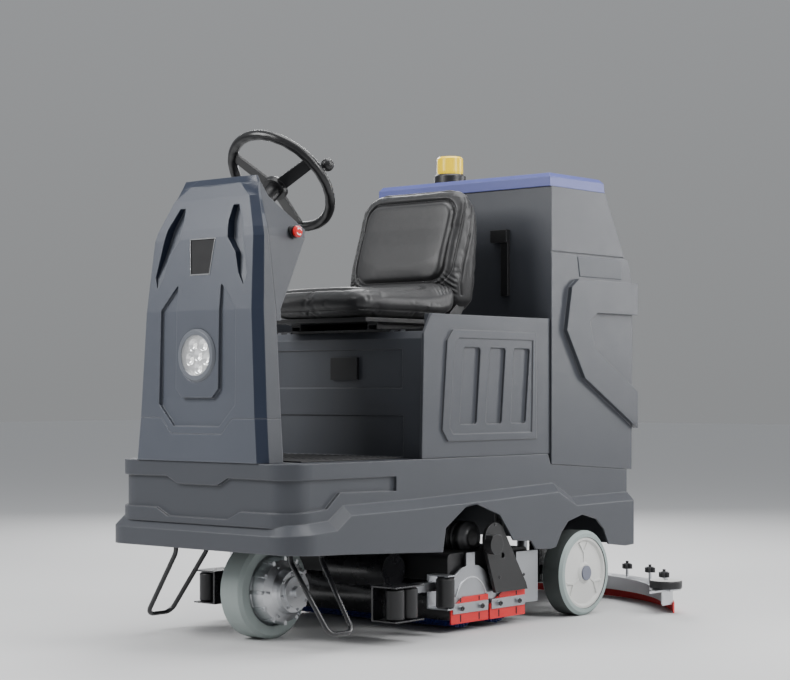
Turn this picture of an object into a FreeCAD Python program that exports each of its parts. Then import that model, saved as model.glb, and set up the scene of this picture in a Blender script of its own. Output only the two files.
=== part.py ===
# Ride-on floor scrubber, built as separate named sub-parts in one frame.
# Front faces -Y, the operator's left is +X, Z is up from the floor. Sizes in mm.
# Y values are counted from the front plane of the base cover; every finished
# sub-part is moved back by mid_y so that the machine is centred on the origin.
import FreeCAD, Part
import math
import os
import re
import Sketcher
from FreeCAD import Placement, Rotation, Vector

SIZES = {
    "mid_y": 919,
    # base cover
    "base_half": 354, "base_front": 0, "base_rear": 1600, "base_top": 513, "rise": 93,
    "skirt_half": 382, "skirt_front": -12, "ledge": 26, "wall": 6,
    "band_depth": 10, "corner_r": 90,
    # nose
    "nose_wall": 8, "seam_gap": 0.4, "lamp_z": 807, "lens_r": 57, "rim": 17,
    # steering
    "wheel_r": 165, "rim_r": 11.5, "wheel_y": 335, "wheel_z": 1316, "wheel_tilt": 48,
    # running gear
    "drive_y": 265, "drive_z": 141, "drive_r": 141, "drive_w": 88,
    "rear_y": 1308, "rear_r": 134, "rear_w": 78, "rear_x": 316, "axle_r": 15,
    "run_fit": 0.05,
    # scrub deck
    "brush_r": 80, "journal": 32, "brush_front_y": 777, "brush_rear_y": 948,
    "brush_z": 84, "deck_x": 352, "skirt_t": 5, "roller_r": 27, "roller_h": 84,
    # rear tank
    "tank_half": 356, "tank_front": 1178, "tank_wall": 8, "lid_z": 1348, "lid_top": 1391,
    # seat
    "box_front": 566, "deck_z": 890, "panel_x": 350, "seat_half": 225, "seat_front": 445,
    # squeegee
    "blade_r": 690, "blade_y": 1850, "blade_half": 575, "blade_t": 5,
}

doc = FreeCAD.newDocument("RideOnScrubber")
sheet = doc.addObject("Spreadsheet::Sheet", "Sizes")
for row, (alias, size) in enumerate(SIZES.items(), 1):
    sheet.set("A%d" % row, alias)
    sheet.set("B%d" % row, str(size))
    sheet.setAlias("B%d" % row, alias)
doc.recompute()

NODES = []
COUNT = [0]


def expr(text):
    """Point each size name in a formula at the sheet."""
    def swap(found):
        word = found.group()
        return "Sizes." + word if word in SIZES else word
    return re.sub(r"[a-z][a-z0-9_]*", swap, str(text))


def val(text):
    """The number a formula gives now."""
    if isinstance(text, (int, float)):
        return float(text)
    return float(sheet.evalExpression(expr(text)))


def new(kind, label="piece"):
    COUNT[0] += 1
    return doc.addObject(kind, "%s_%d" % (label, COUNT[0]))


def spot(obj, at):
    for axis, text in zip("xyz", at):
        obj.setExpression("Placement.Base." + axis, expr(text))


def block(size, at):
    """Box with its low corner at a point."""
    obj = new("Part::Box", "block")
    for prop, text in zip(("Length", "Width", "Height"), size):
        obj.setExpression(prop, expr(text))
    spot(obj, at)
    return obj


TURN = {"x": Rotation(Vector(0, 1, 0), 90), "y": Rotation(Vector(1, 0, 0), -90),
        "z": Rotation()}


def rod(r, h, at, axis="z", top=None):
    """Cylinder, or cone when a top radius is given, rising along an axis."""
    obj = new("Part::Cylinder" if top is None else "Part::Cone", "rod")
    obj.setExpression("Radius" if top is None else "Radius1", expr(r))
    if top is not None:
        obj.setExpression("Radius2", expr(top))
    obj.setExpression("Height", expr(h))
    obj.Placement = Placement(Vector(), TURN[axis] if isinstance(axis, str) else axis)
    spot(obj, at)
    return obj


def outline(body, plane, points):
    """Closed sketch polygon on one of the body's own origin planes."""
    origin = [f for f in body.Origin.OriginFeatures if f.Role == plane + "_Plane"][0]
    sketch = body.newObject("Sketcher::SketchObject", "outline")
    sketch.AttachmentSupport = [(origin, "")]
    sketch.MapMode = "FlatFace"
    spots = [Vector(val(a), val(b), 0) for a, b in points]
    last = len(points)
    for i in range(last):
        sketch.addGeometry(Part.LineSegment(spots[i], spots[(i + 1) % last]), False)
    for i in range(last):
        sketch.addConstraint(Sketcher.Constraint("Coincident", i, 2, (i + 1) % last, 1))
    for i, pair in enumerate(points):
        for kind, text in zip(("DistanceX", "DistanceY"), pair):
            held = Sketcher.Constraint(kind, -1, 1, i, 1, val(text))
            index = sketch.addConstraint(held)
            sketch.setExpression("Constraints[%d]" % index, expr(text))
    return sketch


def prism(plane, points, low, high):
    """Polygon padded along the plane's own axis from low to high."""
    body = new("PartDesign::Body", "prism")
    sketch = outline(body, plane, points)
    start = "-(%s)" % high if plane == "XZ" else str(low)
    sketch.setExpression("AttachmentOffset.Base.z", expr(start))
    pad = body.newObject("PartDesign::Pad", "pad")
    pad.Profile = sketch
    pad.setExpression("Length", expr("(%s)-(%s)" % (high, low)))
    sketch.Visibility = False
    return body


def turned(points, at, axis="z"):
    """Radius and height outline revolved round an axis through a point."""
    body = new("PartDesign::Body", "turned")
    sketch = outline(body, "XZ", points)
    spin = body.newObject("PartDesign::Revolution", "spin")
    spin.Profile = sketch
    spin.ReferenceAxis = (sketch, ["V_Axis"])
    spin.Angle = 360
    body.Placement = Placement(Vector(), TURN[axis] if isinstance(axis, str) else axis)
    spot(body, at)
    return body


def cut(base, *tools):
    for tool in tools:
        obj = new("Part::Cut", "cut")
        obj.Base = base
        obj.Tool = tool
        base = obj
    return base


def fuse(*pieces):
    obj = new("Part::MultiFuse", "fuse")
    obj.Shapes = list(pieces)
    obj.Refine = True
    return obj


def common(one, two):
    obj = new("Part::MultiCommon", "common")
    obj.Shapes = [one, two]
    return obj


def group(*pieces):
    """Separate solids kept as one sub-part."""
    obj = new("Part::Compound", "group")
    obj.Links = list(pieces)
    return obj


def mirror(source):
    obj = new("Part::Mirroring", "mirror")
    obj.Source = source
    obj.Normal = Vector(1, 0, 0)
    return obj


def pair(label, source):
    """The same sub-part on the left and mirrored on the right."""
    node(label + "_left", source)
    node(label + "_right", mirror(source))


def both(source):
    return group(source, mirror(source))


def rounded(base, radius, chosen):
    """Fillet every edge that the chooser accepts."""
    doc.recompute()
    obj = new("Part::Fillet", "rounded")
    obj.Base = base
    obj.Edges = [(i, val(radius), val(radius))
                 for i, e in enumerate(base.Shape.Edges, 1) if chosen(e)]
    return obj


def solid(shape):
    """Moulded shape that no single feature describes."""
    obj = new("Part::Feature", "moulded")
    obj.Shape = shape
    return obj


def tube(points, r, bend):
    """Round bar along a path with rounded bends."""
    path = [Vector(*[val(c) for c in p]) for p in points]
    edges = []
    start = path[0]
    for before, corner, after in zip(path, path[1:], path[2:]):
        into = (before - corner).normalize()
        out = (after - corner).normalize()
        half = into.getAngle(out) / 2
        reach = val(bend) / math.tan(half)
        one = corner + into * reach
        two = corner + out * reach
        middle = (into + out).normalize()
        centre = corner + middle * (val(bend) / math.sin(half))
        edges.append(Part.LineSegment(start, one).toShape())
        edges.append(Part.Arc(one, centre - middle * val(bend), two).toShape())
        start = two
    edges.append(Part.LineSegment(start, path[-1]).toShape())
    wire = Part.Wire(edges)
    ring = Part.Wire(Part.makeCircle(val(r), path[0], path[1] - path[0]))
    return solid(wire.makePipeShell([ring], True, True))


def node(label, obj):
    """Name a finished sub-part."""
    obj.Label = label
    NODES.append(obj)


def vertical(e):
    box = e.BoundBox
    return box.XLength < 0.1 and box.YLength < 0.1


# --- base ------------------------------------------------------------------

def wheel_arch():
    """Points of the skirt's lower edge round the rear wheel."""
    y, r = SIZES["rear_y"], SIZES["rear_r"]
    return [(y + step, r + high) for step, high in
            ((-143, 90), (-113, 134), (-78, 166), (0, 184), (78, 166), (117, 134), (147, 81))]


SKIRT = [("skirt_front", 272), (207, 264), (610, 244), (624, 313), (668, 340), (753, 351),
         (820, 358), (880, 338), (922, 290), (948, 257), (1037, 251), (1061, 224),
         (1135, 220)] + wheel_arch() + [
             (1550, 204), ("base_rear", 206), ("base_rear", 376), (1284, 373), (1187, 420),
             (527, 400), (210, 395), (152, 357), (69, 352), ("skirt_front", 347)]


def base_cover():
    """One moulding: upper body with a recessed band, and a wider skirt below it."""
    upper = slab("base_half", "base_front", 300, "base_top", "corner_r")
    under = [(y, z - 8) for y, z in reversed(SKIRT[-7:-1])]
    roof = prism("YZ", [(-40, 339)] + under + [(1750, 368), (1750, 441), (1175, 480),
                        (1160, "base_top"), (-40, "base_top")], -400, 400)
    upper = common(upper, roof)
    skirt = prism("YZ", SKIRT, "-skirt_half", "skirt_half")
    skirt = rounded(skirt, "corner_r", lambda e: vertical(e) and e.BoundBox.YMax < -5)
    doc.recompute()
    top = [e for e in skirt.Shape.Edges if ledge_edge(e)]
    bevelled = solid(skirt.Shape.makeChamfer(val("ledge"), top))
    whole = fuse(upper, bevelled)
    inner = slab("base_half-26", "base_front+20", 100, "base_top-13", "corner_r-22")
    inner = common(inner, block((800, "base_rear-20", 600), (-400, 0, 0)))
    drop = prism("YZ", [(0, 90), (1620, 90), (1620, 430), (1190, 455), (1160, "base_top-13"),
                        (0, "base_top-13")], -400, 400)
    low = prism("YZ", hollow_line(), "-skirt_half+wall", "skirt_half-wall")
    low = rounded(low, "corner_r-wall", lambda e: vertical(e) and e.BoundBox.YMax < 0)
    whole = cut(whole, common(inner, drop), low)
    whole = cut(whole, band(), rod(34, 60, (0, "drive_y", "base_top-40")))
    node("base_cover", whole)


def ledge_edge(e):
    box = e.BoundBox
    side = val("skirt_half")
    high = box.ZMin > 340
    rim = box.XMin > side - 0.1 or box.XMax < -side + 0.1 or box.YMax < 82
    return high and rim and not vertical(e) and box.YMin < val("base_rear") - 1


def hollow_line():
    """Inside of the skirt, one wall in from its ends and below its ledge."""
    line = [("skirt_front+wall", 90), ("base_rear-wall", 90)]
    for y, z in SKIRT[-8:]:
        y = {"skirt_front": "skirt_front+wall", "base_rear": "base_rear-wall"}.get(y, y)
        line.append((y, z - 34))
    return line


def slab(half, front, low, high, corner):
    """Block of the base's length with its two front corners rounded."""
    whole = block(("2*(%s)" % half, "base_rear-(%s)" % front, "%s-%s" % (high, low)),
                  ("-(%s)" % half, front, low))
    return rounded(whole, corner, lambda e: vertical(e) and e.BoundBox.YMax < 100)


def band():
    """Recessed band along both sides and across the front, dipping in its middle."""
    ring = cut(slab("base_half+60", "base_front-60", 340, 490, "corner_r+60"),
               slab("base_half-band_depth", "base_front+band_depth", 330, 500,
                    "corner_r-band_depth"))
    side = [(-60, 381), (43, 381), (149, 389), (201, 431), (437, 427), (437, 468), (-60, 470)]
    front = [(-264, 381), (-168, 381), (-119, 358), (119, 358), (168, 381), (264, 381),
             (264, 470), (122, 471), (80, 450), (-80, 450), (-122, 471), (-264, 470)]
    zone = fuse(both(prism("YZ", side, 264, 430)), prism("XZ", front, -70, 60))
    return common(ring, zone)


def floor_mat():
    mat = block((560, 420, 4), (-280, 125, "base_top"))
    node("floor_mat", cut(mat, rod(34, 20, (0, "drive_y", "base_top-5"))))


def chassis():
    """Welded tube frame under the cover, with the rear axle and steering head."""
    rails = [block((40, 1380, 50), (x, 110, "base_top-rise-50")) for x in (-230, 190)]
    ties = [block((380, 40, 50), (-190, y, "base_top-rise-50")) for y in (110, 360, 1180, 1480)]
    head = fuse(rod(52, 60, (0, "drive_y", "base_top-rise-50")),
                block((400, 24, 50), (-200, "drive_y-12", "base_top-rise-50")))
    posts = [block((40, 50, "base_top-rise-100"), (x, "rear_y-25", 95)) for x in (-230, 190)]
    axle = rod("axle_r", "2*(rear_x+rear_w+1)", ("-rear_x-rear_w-1", "rear_y", "rear_r"), "x")
    cap = rod(23, 5, ("rear_x+rear_w+0.5", "rear_y", "rear_r"), "x")
    feet = [block((40, 40, "rise-13"), (x, y, "base_top-rise-0.3")) for x in (-230, 190)
            for y in (200, 1000)]
    sleeve = rod(28, 110, (0, "blade_y-350", 300))
    tray = block((6, 700, 97), (-150, 470, 275))
    carriers = [block((380, 30, 20), (-190, y, "base_top-rise-48")) for y in (600, 1020)]
    guides = [rod(15, 100, (x, y, 272)) for x in (-210, 210) for y in (776, 1100)]
    bores = [rod("8+run_fit", 120, (x, y, 260)) for x in (-210, 210) for y in (776, 1100)]
    frame = fuse(*rails, *ties, head, *posts, axle, cap, mirror(cap), sleeve, tray, *carriers,
                 *feet, *guides)
    node("chassis_frame", cut(frame, rod("30+run_fit", 80, (0, "drive_y", "base_top-rise-60")),
                              rod("18+run_fit", 140, (0, "blade_y-350", 290)), *bores))


# --- nose ------------------------------------------------------------------

# height, face half-width, face Y, outer half-width, outer Y, rear Y
LEVELS = [(SIZES["base_top"] + 0.3, 238, -5, 262, 20, 92), (634, 227, -2, 253, 21, 85),
          (931, 209, 4, 234, 28, 92), (1132, 196, 24, 218, 46, 205),
          (1157, 189, 29, 209, 51, 214), (1245, 149, 56, 168, 76, 112),
          (1285, 97, 72, 150, 88, 100), (1304, 80, 88, 141, 92, 98)]


def nose_loft(inset):
    """Stacked level outlines joined by flat facets."""
    wires = []
    for z, wi, yf, wo, yo, yr in LEVELS:
        low = z if z < 600 else z - inset
        half = [(wi - inset, yf + inset), (wo - inset, yo + inset * 0.4)]
        ring = [(-x, y) for x, y in reversed(half)] + half
        ring = [(-(wo - inset), max(yr - inset, yo + inset))] + ring
        ring.append((wo - inset, max(yr - inset, yo + inset)))
        points = [Vector(x, y, low - (5 if inset and z < 600 else 0)) for x, y in ring]
        wires.append(Part.makePolygon(points + points[:1]))
    return solid(Part.makeLoft(wires, True, True))


def seam(low, high):
    """Region of the nose between two copies of its stepped seam line."""
    line = [(-300, 634), (-141, 634), (-99, 590), (99, 590), (141, 634), (300, 634)]
    if high is None:
        points = [(x, "%s+%s" % (z, low)) for x, z in line] + [(300, 1400), (-300, 1400)]
    else:
        points = [(x, "%s-(%s)" % (z, high)) for x, z in line] + [(300, 400), (-300, 400)]
    return prism("XZ", points, -60, 400)


def shell(side):
    """Hollow nose, front face piece or the console behind it."""
    hollow = cut(nose_loft(0), nose_loft(val("nose_wall")))
    split = [(74, 400), (74, 931), (62, 1132), (84, 1245), (96, 1290), (96, 1400)]
    if side == "front":
        zone = prism("YZ", split + [(-60, 1400), (-60, 400)], -300, 300)
    else:
        shifted = [("%s+seam_gap" % y, z) for y, z in split]
        zone = prism("YZ", shifted + [(300, 1400), (300, 400)], -300, 300)
    return common(hollow, zone)


def gill():
    """Slanted recess that ramps out towards its lower tip."""
    mark = [(96, 1222), (118, 1222), (150, 1165), (182, 1030), (172, 996), (150, 1030),
            (132, 1090), (98, 1130), (90, 1180)]
    pocket = prism("XZ", mark, -60, 200)
    floor = prism("YZ", [(-60, 985), (14, 1000), (38, 1080), (54, 1150), (68, 1225), (-60, 1225)],
                  60, 230)
    return both(common(pocket, floor))


def channel():
    """U-shaped groove round the lamp panel."""
    outer = [(-90, 1001), (-149, 935), (-152, 672), (-91, 611), (91, 611), (152, 672),
             (149, 935), (90, 1001)]
    inner = [(-85, 1001), (-85, 715), (-60, 690), (60, 690), (85, 715), (85, 1001)]
    trough = prism("YZ", [(-60, 605), (5, 605), (10, 690), (13, 931), (20, 1010), (-60, 1010)],
                   -160, 160)
    return cut(common(prism("XZ", outer, -60, 60), trough), prism("XZ", inner, -61, 61))


def nose():
    skin = cut(fuse(shell("front"), nose_back()), gill(), channel())
    skin = cut(skin, rod("lens_r+rim+0.5", 70, (0, -20, "lamp_z"), "y"))
    skin = cut(skin, prism("XZ", plate(1), 0, 26))
    upper = common(skin, seam("seam_gap/2", None))
    node("nose_cover", upper)
    node("nose_lower_cover", common(skin, seam(0, "seam_gap/2")))


def nose_back():
    """Backing web that carries the recessed areas of the front face."""
    web = prism("YZ", [(2, 600), (3, 634), (9, 931), (29, 1132), (61, 1245), (70, 1262),
                       (84, 1262), (76, 1235), (50, 1110), (30, 980), (28, 600)], -200, 200)
    return common(web, nose_loft(4))


def plate(grow):
    """Blank badge outline."""
    return [(-49 - grow, 1130 + grow), (-37 - grow, 1032 - grow), (37 + grow, 1032 - grow),
            (49 + grow, 1130 + grow)]


def badge():
    body = prism("XZ", plate(0), 0, 26)
    face = prism("YZ", [(12, 1020), (15, 1031), (25, 1132), (40, 1140), (40, 1020)], -60, 60)
    node("name_plate", common(body, face))


def console():
    """Console behind the nose, with a flat top that carries the column."""
    back = shell("rear")
    high = prism("YZ", [(40, 900), (300, 900), (300, 1400), (40, 1400)], -300, 300)
    body = common(back, high)
    body = cut(body, rod("24+1", 300, (0, 260, 1248.5), column_turn()))
    body = cut(body, rod(16, 60, (240, 160, 1147), TURN_BACK))
    node("console_cover", body)


TURN_BACK = Rotation(Vector(0, 1, 0), -90)


def column_turn():
    """Rotation that points a rod down the steering column."""
    lean = math.radians(SIZES["wheel_tilt"])
    return Rotation(Vector(0, 0, 1), Vector(0, -math.sin(lean), -math.cos(lean)))


def lamp():
    at = (0, "-6", "lamp_z")
    ring = [("lens_r", 0), ("lens_r+rim-6", 0), ("lens_r+rim", 6), ("lens_r+rim", 30), (0, 30),
            (0, 24), ("lens_r", 24)]
    cups = []
    for i in range(6):
        angle = math.radians(90 + 36 + 72 * (i - 1))
        reach = 36 if i else 0
        x = "%.3f" % (reach * math.cos(angle))
        z = "lamp_z+(%.3f)" % (reach * math.sin(angle))
        cup = [(13, 0), (15, 0), (15, 10), (0, 10), (0, 8), (5, 8)]
        cups.append(turned(cup, (x, 7.7, z), "y"))
    node("headlight_bezel", turned(ring, at, "y"))
    node("headlight_lens", rod("lens_r-0.2", 4, (0, -4, "lamp_z"), "y"))
    node("headlight_cups", group(*cups))


# --- steering --------------------------------------------------------------

def wheel_frame():
    return Rotation(Vector(1, 0, 0), -SIZES["wheel_tilt"])


def tilt(obj):
    """Move a piece drawn flat at the origin to the steering wheel's place."""
    obj.Placement = Placement(Vector(), wheel_frame())
    spot(obj, (0, "wheel_y", "wheel_z"))
    return obj


def steering():
    ring = new("Part::Torus", "ring")
    ring.setExpression("Radius1", expr("wheel_r"))
    ring.setExpression("Radius2", expr("rim_r"))
    hub = solid(steering_hub())
    shaft = new("Part::Cylinder", "shaft")
    shaft.Radius = 12
    shaft.Height = 205
    shaft.Placement.Base = Vector(0, 0, -240)
    stud = solid(Part.makeCylinder(5, 44, Vector(val("wheel_r") * 0.996, val("wheel_r") * -0.087, 8)))
    node("steering_rim", tilt(fuse(ring, hub, shaft, stud)))
    centre = Vector(val("wheel_r") * 0.996, val("wheel_r") * -0.087, 40)
    ball = Part.makeSphere(19, centre)
    ball = ball.cut(Part.makeCylinder(5 + val("run_fit"), 80, centre - Vector(0, 0, 40)))
    node("spinner_knob", tilt(solid(ball)))


def steering_hub():
    """Dished hub plate with three flat spokes."""
    body = Part.makeCylinder(38, 16, Vector(0, 0, -40))
    cap = Part.makeCone(38, 26, 14, Vector(0, 0, -24))
    body = body.fuse(cap)
    reach = val("wheel_r") - 3
    for angle in (100, 220, 340):
        spoke = Part.makePolygon([Vector(20, -19, -32), Vector(20, 19, -32), Vector(20, 19, -24),
                                  Vector(20, -19, -24), Vector(20, -19, -32)])
        end = Part.makePolygon([Vector(reach, -17, -4), Vector(reach, 17, -4), Vector(reach, 17, 4),
                                Vector(reach, -17, 4), Vector(reach, -17, -4)])
        arm = Part.makeLoft([spoke, end], True, True)
        arm.rotate(Vector(), Vector(0, 0, 1), angle)
        body = body.fuse(arm)
    return body


def column():
    sleeve = Part.makeCylinder(24, 204.6, Vector(0, 0, -245))
    sleeve = sleeve.cut(Part.makeCylinder(12 + val("run_fit"), 260, Vector(0, 0, -260)))
    foot = Part.makeBox(120, 60, 8, Vector(-60, -30, -253))
    foot = foot.cut(Part.makeCylinder(12 + val("run_fit"), 260, Vector(0, 0, -300)))
    node("steering_column", tilt(solid(sleeve.fuse(foot))))


def panel():
    """Operator's panel with raised keys, and the stop button collar."""
    plate_line = [(122.2, 1236.9), (196.2, 1173), (198.3, 1175.5), (124.3, 1239.4)]
    left = prism("YZ", plate_line, 40, 140)
    right = prism("YZ", plate_line, -140, -40)
    node("control_panel", group(left, right))
    collar = turned([("8+run_fit", -8), (15.5, -8), (15.5, 6), (18, 6), (18, 10), ("8+run_fit", 10)],
                    (214, 160, 1147), "x")
    node("stop_collar", collar)
    node("stop_button", turned([(0, -8), (8, -8), (8, 15.6), (16, 15.6), (16, 22), (12, 26), (0, 26)],
                               (214, 160, 1147), "x"))


# --- drive wheel -----------------------------------------------------------

def drive():
    half = "drive_w/2"
    y, z = "drive_y", "drive_z"
    tyre = turned([(104, "-(%s)" % half), ("drive_r-10", "-(%s)" % half),
                   ("drive_r", "-(%s)+10" % half), ("drive_r", "%s-10" % half),
                   ("drive_r-10", half), (104, half)], (0, y, z), "x")
    node("drive_tyre", tyre)
    motor = turned([("16+run_fit", -40), (104, -40), (104, 30), (96, 44), (90, 84), (66, 96),
                    (60, 108), (60, 122), (44, 122), (44, 128), ("16+run_fit", 128)],
                   (0, y, z), "x")
    fins = []
    for i in range(12):
        angle = math.radians(30 * i)
        fin = new("Part::Box", "fin")
        fin.Length = 46
        fin.Width = 10
        fin.Height = 40
        fin.Placement = Placement(Vector(), Rotation(Vector(1, 0, 0), 30 * i))
        away = ("40", "%s+(%.3f)" % (y, -5 * math.cos(angle) - 58 * math.sin(angle)),
                "%s+(%.3f)" % (z, -5 * math.sin(angle) + 58 * math.cos(angle)))
        spot(fin, away)
        fins.append(fin)
    node("drive_motor", fuse(motor, *fins))
    fork()


def fork():
    """Steered fork: spindle, top plate, one side arm and the fixed axle."""
    y, z = "drive_y", "drive_z"
    spindle = rod(30, 190, (0, y, 300))
    top = block((210, 110, 14), (-90, "drive_y-55", 292))
    arm = prism("YZ", [("drive_y-55", 292), ("drive_y+55", 292), ("drive_y+30", 100),
                       ("drive_y-30", 100)], -90, -72)
    axle = rod(16, 230, (-90, y, z), "x")
    link = block((16, 70, 22), (104, "drive_y-35", 270))
    node("drive_fork", fuse(spindle, top, arm, axle, link))


def loops():
    """Black bar loops either side of the drive wheel."""
    path = [(214, 135, 368.6), (232, 135, 237), (366, 146, 50), (366, 240, 50),
            (232, 258, 237), (214, 258, 368.6)]
    node("guard_loops", both(tube(path, 7, 26)))


# --- rear wheels -----------------------------------------------------------

def rear_wheels():
    rim = "rear_r-22"
    profile = [(rim + "+0.3", 0), ("rear_r-9", 0), ("rear_r", 9), ("rear_r", "rear_w-9"),
               ("rear_r-9", "rear_w"), (rim + "+0.3", "rear_w")]
    at = ("rear_x", "rear_y", "rear_r")
    pair("rear_tyre", turned(profile, at, "x"))
    disc = turned([("axle_r+run_fit", 6), (40, 6), (48, 44), (96, 44), (102, 4), (rim, 4),
                   (rim, "rear_w-3"), (104, "rear_w-3"), (98, "rear_w-11"), (34, "rear_w-7"),
                   (28, "rear_w"), ("axle_r+run_fit", "rear_w")], at, "x")
    pair("rear_hub", fuse(disc, *hub_ribs()))


def hub_ribs():
    """Raised Y-shaped ribs on the hub's outer face."""
    ribs = []
    for i in range(3):
        for reach, start, turn in ((40, 26, 0), (38, 64, 36), (38, 64, -36)):
            lean = math.radians(120 * i)
            rib = new("Part::Box", "rib")
            rib.Length = 12
            rib.Width = 6
            rib.Height = reach
            rib.Placement = Placement(Vector(), Rotation(Vector(1, 0, 0), 120 * i + turn))
            tilt_in = math.radians(120 * i + turn)
            y = -start * math.sin(lean) - 3 * math.cos(tilt_in)
            z = start * math.cos(lean) - 3 * math.sin(tilt_in)
            spot(rib, ("rear_x+rear_w-18", "rear_y+(%.3f)" % y, "rear_r+(%.3f)" % z))
            ribs.append(rib)
    return ribs


# --- scrub deck ------------------------------------------------------------

def deck():
    housing()
    deck_frame()
    skirts()
    belt_cover()
    for label, y in (("brush_front", "brush_front_y"), ("brush_rear", "brush_rear_y")):
        body = turned([(0, "journal-deck_x"), ("brush_r", "journal-deck_x"),
                       ("brush_r", "deck_x-journal"), (0, "deck_x-journal")],
                      (0, y, "brush_z"), "x")
        pin = rod(10, "2*deck_x", ("-deck_x", y, "brush_z"), "x")
        node(label, fuse(body, pin))


def housing():
    """Tunnel over both brushes with the motor above."""
    front, rear, z = "brush_front_y", "brush_rear_y", "brush_z"
    wide = "2*deck_x-12.6"
    start = "-deck_x+6.3"
    arch = fuse(rod("brush_r+12", wide, (start, front, z), "x"),
                rod("brush_r+12", wide, (start, rear, z), "x"),
                block((wide, "brush_rear_y-brush_front_y", 60), (start, front, "brush_z+32")))
    hollow = fuse(rod("brush_r+6", 720, (-360, front, z), "x"),
                  rod("brush_r+6", 720, (-360, rear, z), "x"),
                  block((720, 400, 70), (-360, 660, -36)),
                  block((720, "brush_rear_y-brush_front_y", 40), (-360, front, 30)))
    motor = rod(52, 240, (-60, "brush_front_y-150", 176), "x")
    saddle = block((200, 90, 20), (-40, "brush_front_y-150", 150))
    lugs = [block((20, 40, 40), (x, 850, 165)) for x in (-180, 160)]
    node("deck_housing", cut(fuse(arch, motor, saddle, *lugs), hollow))


def deck_frame():
    """Silver end plates, cross bars and roller brackets."""
    bore = "10+run_fit"
    low, high = "deck_x-6", "deck_x"
    end = prism("YZ", [(685, 100), (869, 100), (869, 130), (850, 170), (815, 190), (796, 192),
                       (796, 231), (756, 231), (756, 192), (735, 188), (702, 168), (685, 130)],
                low, high)
    tail = prism("YZ", [(860, 60), (1110, 60), (1110, 218), (1000, 218), (1000, 180),
                        (860, 150)], low, high)
    side = fuse(end, tail, block((6, 190, 46), (low, 685, 62)),
                block((32, 194.5, 26), (320, 490, 130)), block((6, 30, 26), (low, 680, 130)),
                *roller_bracket(372, 124, 62, 158, 316, 90, ((376, 404), (376, 462))),
                *roller_bracket(600, 40, 78, 174, 330, 78, ((382, 620),)))
    side = cut(side, rod(bore, 30, ("deck_x-17", "brush_front_y", "brush_z"), "x"),
               rod(bore, 30, ("deck_x-17", "brush_rear_y", "brush_z"), "x"))
    bars = [block(("2*deck_x", 20, 22), ("-deck_x", 766, 208)),
            block(("2*deck_x", 20, 24), ("-deck_x", 1090, 190))]
    rods = [rod(8, top - 210, (x, y, 210)) for x in (-210, 210)
            for y, top in ((776, 325), (1100, 325))]
    node("deck_frame", fuse(side, mirror(side), *bars, *rods))
    for label, x, y, z in (("corner_roller", 376, 404, 66), ("inner_roller", 376, 462, 66),
                           ("mid_roller", 382, 620, 82)):
        ring = [("6+run_fit", 0.5), ("roller_r-4", 0.5), ("roller_r", 5), ("roller_r", "roller_h"),
                ("roller_r-4", "roller_h+4"), ("6+run_fit", "roller_h+4")]
        pair(label, turned(ring, (x, y, z), "z"))


def roller_bracket(y, long, low, high, x, wide, pins):
    """Two shelves and a web that hold upright roller pins."""
    pieces = [block((wide, long, 4), (x, y, low)), block((wide, long, 4), (x, y, high)),
              block((6, long, high - low), (x, y, low))]
    return pieces + [rod(6, high - low, (px, py, low)) for px, py in pins]


def skirts():
    """Red side skirts with slotted silver clamp strips."""
    reds = []
    strips = []
    for low, high in ((678, 854), (862, 1037)):
        top = [(low, 26), (high, 26), (high, 103), (low + 60, 103), (low, 70)]
        red = prism("YZ", top, "deck_x+0.3", "deck_x+skirt_t")
        strip = block((4, "%s" % (high - low - 10), 30), ("deck_x+skirt_t", low + 5, 56))
        bolts = [rod(7, 6, ("deck_x+skirt_t+4", low + 40, 71), "x"),
                 rod(7, 6, ("deck_x+skirt_t+4", high - 40, 71), "x")]
        reds.append(red)
        strips.append(fuse(strip, *bolts))
    node("side_skirts", group(*reds, *[mirror(r) for r in reds]))
    node("skirt_clamps", group(*strips, *[mirror(s) for s in strips]))


def belt_cover():
    """Black teardrop cover over the brush drive belt, with a raised boss."""
    body = fuse(rod(50, 11, ("deck_x+10", 868, 265), "x"),
                prism("YZ", [(872, 105), (1030, 105), (1022, 125), (915, 284), (820, 250)],
                      "deck_x+10", "deck_x+21"))
    boss = fuse(rod(30, 28, ("deck_x+18", 845, 252), "x"),
                block((28, 44, 30), ("deck_x+18", 823, 250)))
    post = block((12, 60, 40), ("deck_x+0.3", 880, 140))
    node("belt_cover", cut(fuse(body, boss, post), rod(9, 60, ("deck_x+5", 905, 215), "x")))


# --- seat box and tank -----------------------------------------------------

class Hinge:
    """Two butt hinges on one line along X: ears and pin on one side, a barrel on the other."""

    def __init__(self, y, z, r, apart):
        self.y, self.z, self.r = y, z, r
        self.middles = (-apart, apart)

    def row(self, r, low, high):
        return [rod(r, high - low, (x + low, self.y, self.z), "x") for x in self.middles]

    def fixed(self, body):
        ears = self.row(self.r, -27, -13) + self.row(self.r, 13, 27)
        pins = self.row(self.r / 2, -27, 27)
        return fuse(cut(body, *self.row(self.r + 0.6, -13, 13)), *ears, *pins)

    def moving(self, body):
        room = self.row(self.r + 0.6, -27.5, -12.5) + self.row(self.r + 0.6, 12.5, 27.5)
        barrels = self.row(self.r, -12.5, 12.5)
        return cut(fuse(cut(body, *room), *barrels), *self.row("%g+run_fit" % (self.r / 2), -13, 13))


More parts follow.
